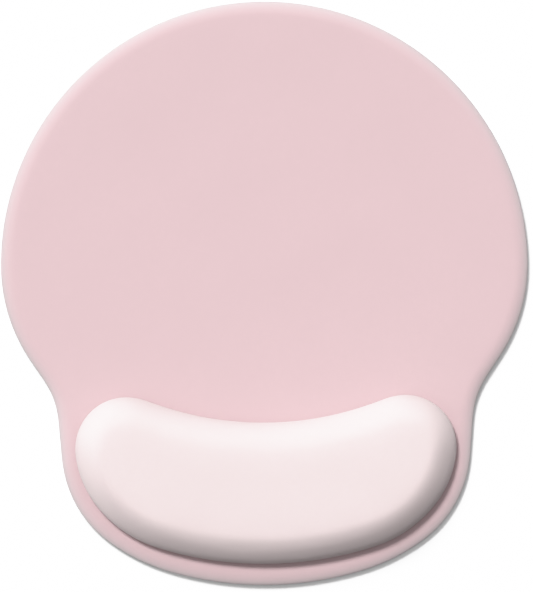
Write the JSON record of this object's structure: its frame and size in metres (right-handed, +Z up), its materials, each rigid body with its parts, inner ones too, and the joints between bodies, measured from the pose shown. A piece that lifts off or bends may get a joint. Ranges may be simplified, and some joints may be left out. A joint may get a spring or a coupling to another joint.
{
  "type": "wrist rest mouse mat",
  "caption": "Soft fabric-covered mouse mat with a pear-shaped outline and a raised, crescent-shaped gel wrist rest along its near edge.",
  "frame": {"origin": "on the desk, under the centre of the object's outline", "axes": "+X to the user's right, +Y away from the user (the wrist rest is at -Y), +Z up from the desk"},
  "size_m": [0.22, 0.2436, 0.025],
  "materials": {
    "base_rubber": "matt, fine-grained, tacky",
    "adhesive": "translucent dried adhesive film",
    "core_foam": "closed-cell foam rubber",
    "pad_fabric": "smooth fine knit, dusty pink, soft sheen",
    "board_foam": "firm closed-cell foam board",
    "pouch_film": "clear film, slightly milky",
    "gel": "clear soft gel, wet gloss",
    "rest_fabric": "smooth fine knit, pale blush, soft sheen"
  },
  "bodies": {
    "mat": {"anti_slip_base": "base_rubber", "base_bonding_film": "adhesive", "pad_core": "core_foam", "cover_bonding_film": "adhesive", "pad_cover": "pad_fabric", "rest_bonding_film": "adhesive", "rest_backing_board": "board_foam", "gel_pouch_bottom_film": "pouch_film"},
    "cushion": {"gel_fill": "gel", "gel_pouch_top_film": "pouch_film", "rest_cover": "rest_fabric"}
  },
  "joints": [
    {"name": "cushion_press", "type": "slide", "parent": "mat", "child": "cushion", "axis": [0, 0, 1], "range_m": [-0.006, 0], "stiffness_N_per_m": 3000, "deforming": ["gel_fill", "gel_pouch_top_film", "rest_cover"]}
  ]
}
